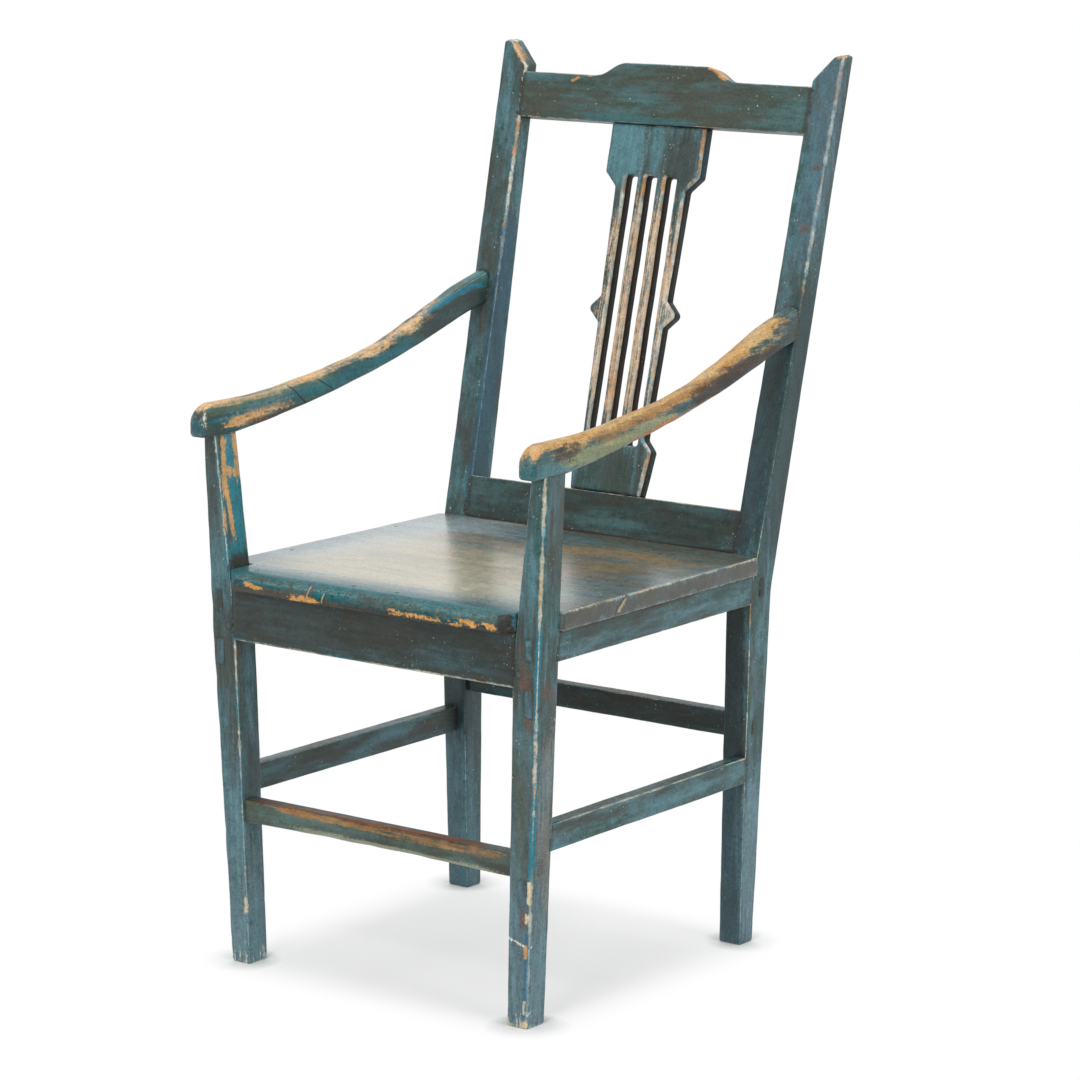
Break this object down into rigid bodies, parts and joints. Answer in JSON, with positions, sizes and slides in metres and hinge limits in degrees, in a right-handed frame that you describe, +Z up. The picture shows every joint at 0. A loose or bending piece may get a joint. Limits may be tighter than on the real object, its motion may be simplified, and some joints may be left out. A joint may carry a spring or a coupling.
{
  "type": "painted armchair",
  "caption": "Joined wooden armchair with raked back posts, pierced splat, plank seat, sawn rising arms and stepped stretchers, in worn teal paint, for sitting.",
  "frame": {"origin": "middle of the chair's bounding box, on the floor", "axes": "+Z up, the front faces -Y, +X is to the right seen from the front"},
  "size_m": [0.4838, 0.5944, 1.01],
  "materials": {
    "frame_paint": "old slate-teal paint, rubbed to cream and bare wood along the edges",
    "back_paint": "old teal paint over brown, rubbed to cream on the splat's bars",
    "arm_paint": "teal paint rubbed through to tan wood along the tops, satin",
    "seat_paint": "blue-grey paint polished through to cream and ochre, semi-gloss",
    "peg_wood": "dark end grain",
    "nail_iron": "dark, rusted"
  },
  "bodies": {
    "root": {"left_back_post": "frame_paint", "right_back_post": "frame_paint", "left_front_post": "frame_paint", "right_front_post": "frame_paint", "front_seat_rail": "frame_paint", "left_side_seat_rail": "frame_paint", "right_side_seat_rail": "frame_paint", "rear_seat_rail": "frame_paint", "front_stretcher": "frame_paint", "left_side_stretcher": "frame_paint", "right_side_stretcher": "frame_paint", "rear_stretcher": "frame_paint", "crest_rail": "back_paint", "lower_back_rail": "back_paint", "back_splat": "back_paint", "left_arm": "arm_paint", "right_arm": "arm_paint", "seat_board": "seat_paint", "front_rail_pegs": "peg_wood", "arm_front_pegs": "peg_wood", "arm_rear_pegs": "peg_wood", "side_stretcher_pegs": "peg_wood", "front_post_plugs": "peg_wood", "seat_nails": "nail_iron"}
  },
  "joints": []
}
